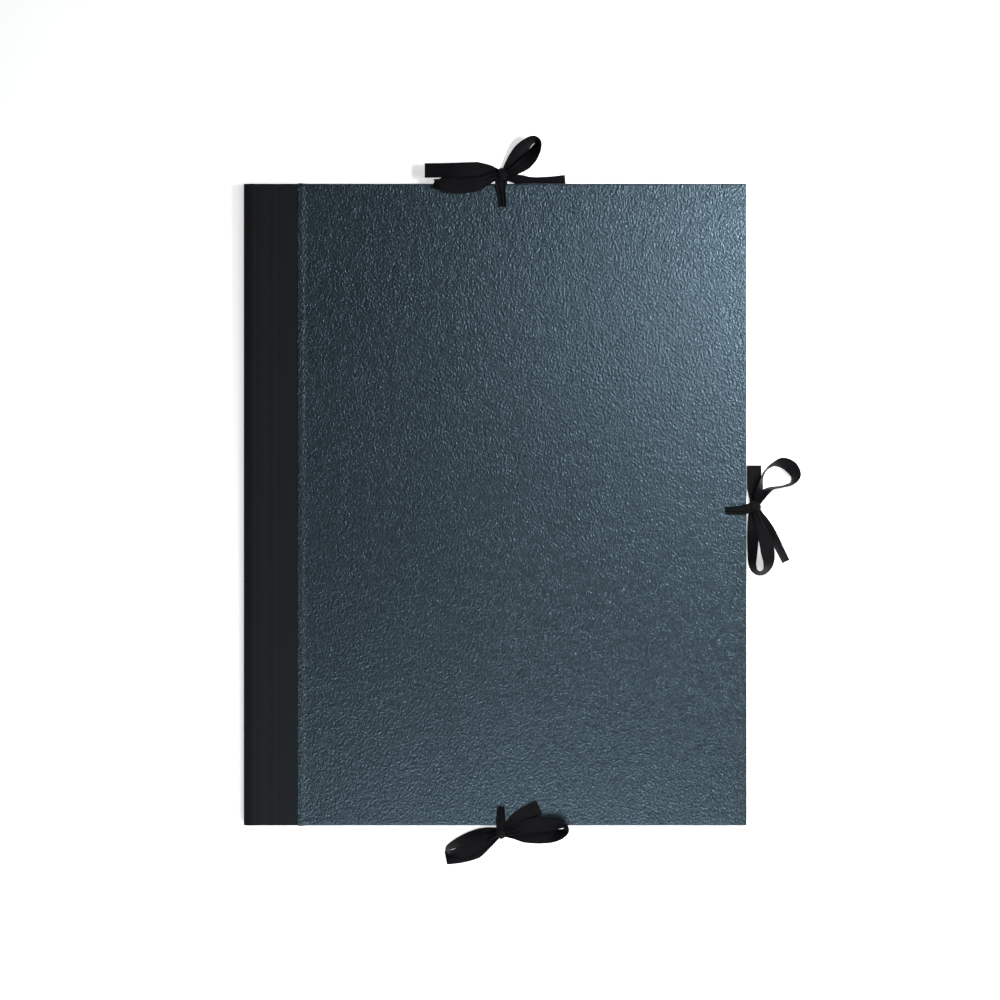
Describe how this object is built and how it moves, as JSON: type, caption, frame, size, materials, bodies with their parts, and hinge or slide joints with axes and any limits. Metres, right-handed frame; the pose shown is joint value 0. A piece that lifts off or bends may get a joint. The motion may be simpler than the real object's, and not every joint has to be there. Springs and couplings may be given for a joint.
{
  "type": "art portfolio",
  "caption": "Flat folder with stiff leatherette covers on a cloth spine, tied shut with ribbon bows at head, fore edge and tail.",
  "frame": {"origin": "under the middle of the shut covers, at the height of the covering's lowest fold, with the portfolio lying on its back cover", "axes": "+X from the spine towards the fore edge, +Y up the cover towards the head, +Z out of the front cover"},
  "size_m": [0.2871, 0.3742, 0.0133],
  "materials": {
    "greyboard": "raw greyboard",
    "leatherette": "leather-grained bookbinding paper, satin",
    "lining_paper": "smooth matt black paper",
    "ribbon": "woven black tape",
    "spine_cloth": "fine black bookcloth, matt"
  },
  "bodies": {
    "back_cover": {"back_board": "greyboard", "back_covering": "leatherette", "back_lining": "lining_paper", "spine_cloth": "spine_cloth", "hinge_cloth": "spine_cloth", "top_back_ribbon": "ribbon", "side_back_ribbon": "ribbon", "bottom_back_ribbon": "ribbon"},
    "front_cover": {"front_board": "greyboard", "front_covering": "leatherette", "front_lining": "lining_paper", "top_front_ribbon": "ribbon", "side_front_ribbon": "ribbon", "bottom_front_ribbon": "ribbon"}
  },
  "joints": [
    {"name": "front_cover_opens", "type": "hinge", "parent": "back_cover", "child": "front_cover", "pos_m": [-0.1295, 0, 0.00325], "axis": [0, -1, 0], "range_deg": [0, 180], "deforming": ["spine_cloth", "hinge_cloth"]}
  ]
}
